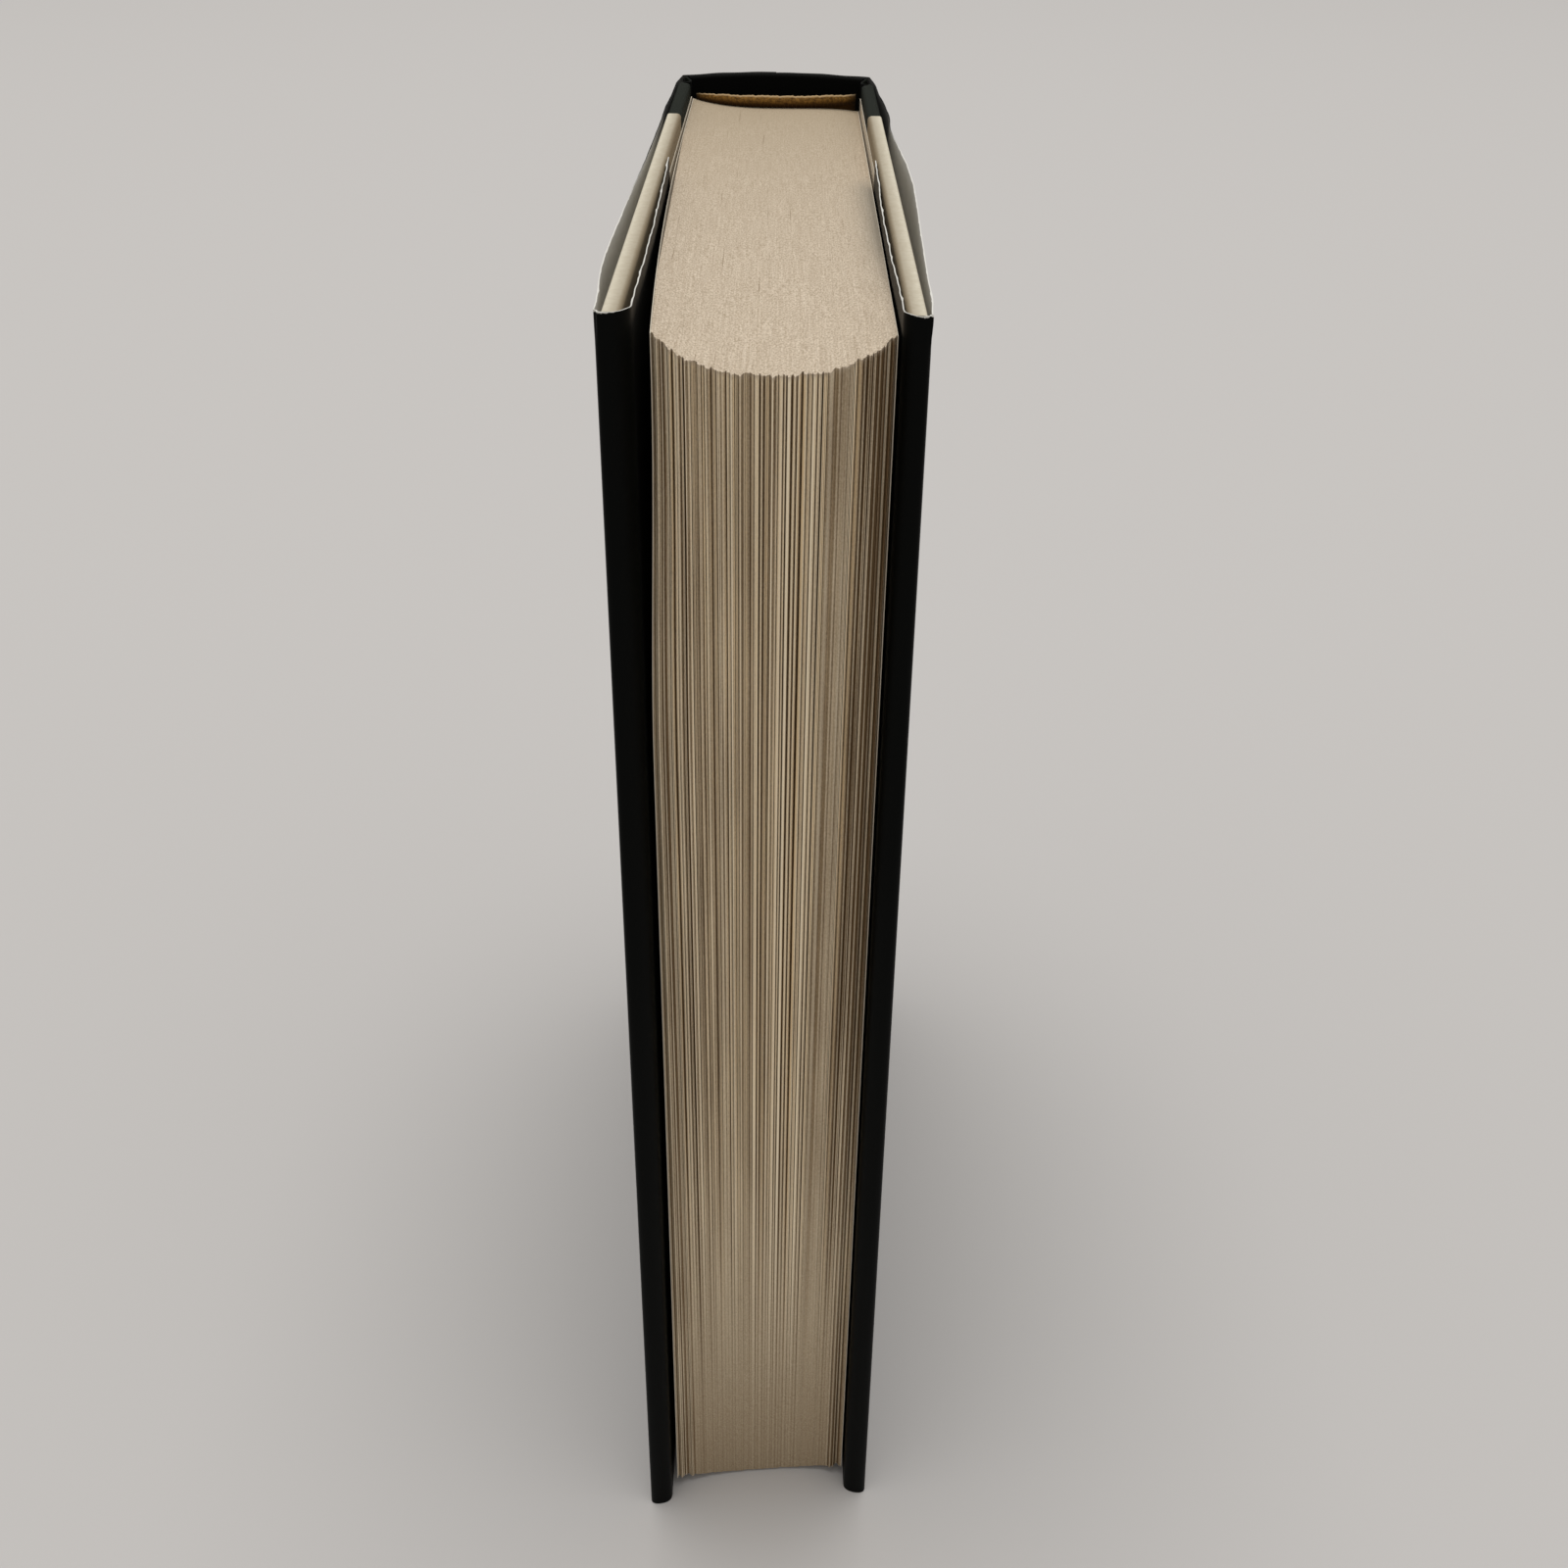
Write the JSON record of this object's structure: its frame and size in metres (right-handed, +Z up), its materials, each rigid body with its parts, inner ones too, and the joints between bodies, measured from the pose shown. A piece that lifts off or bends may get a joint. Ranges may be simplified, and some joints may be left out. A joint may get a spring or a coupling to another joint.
{
  "type": "hardcover book",
  "caption": "Thick upright hardcover book with quarter-bound boards that swing on cloth joints, a sagging rough-cut text block, woven bands and a plain black dust jacket with flaps.",
  "frame": {"origin": "on the standing plane under the middle of the book's box", "axes": "+Z up from tail to head, +Y towards the spine, -X towards the front cover"},
  "size_m": [0.046, 0.175, 0.2413],
  "materials": {
    "pages": "matte",
    "endpaper": "matte",
    "band": "matte",
    "lining": "matte",
    "board": "matte",
    "cloth": "matte",
    "side_paper": "matte",
    "jacket": "satin"
  },
  "bodies": {
    "text_block": {"page_block": "pages", "front_flyleaf": "endpaper", "back_flyleaf": "endpaper", "head_band": "band", "tail_band": "band", "spine_lining": "lining", "spine_card": "board", "spine_cloth": "cloth", "jacket_spine": "jacket"},
    "front_cover": {"front_board": "board", "front_cloth": "cloth", "front_side_paper": "side_paper", "front_pastedown": "endpaper", "jacket_front": "jacket"},
    "back_cover": {"back_board": "board", "back_cloth": "cloth", "back_side_paper": "side_paper", "back_pastedown": "endpaper", "jacket_back": "jacket"}
  },
  "joints": [
    {"name": "front_hinge", "type": "hinge", "parent": "text_block", "child": "front_cover", "pos_m": [-0.02005, 0.07848, 0], "axis": [0, 0, -1], "range_deg": [0, 175]},
    {"name": "back_hinge", "type": "hinge", "parent": "text_block", "child": "back_cover", "pos_m": [0.02084, 0.07848, 0], "axis": [0, 0, 1], "range_deg": [0, 175]}
  ]
}
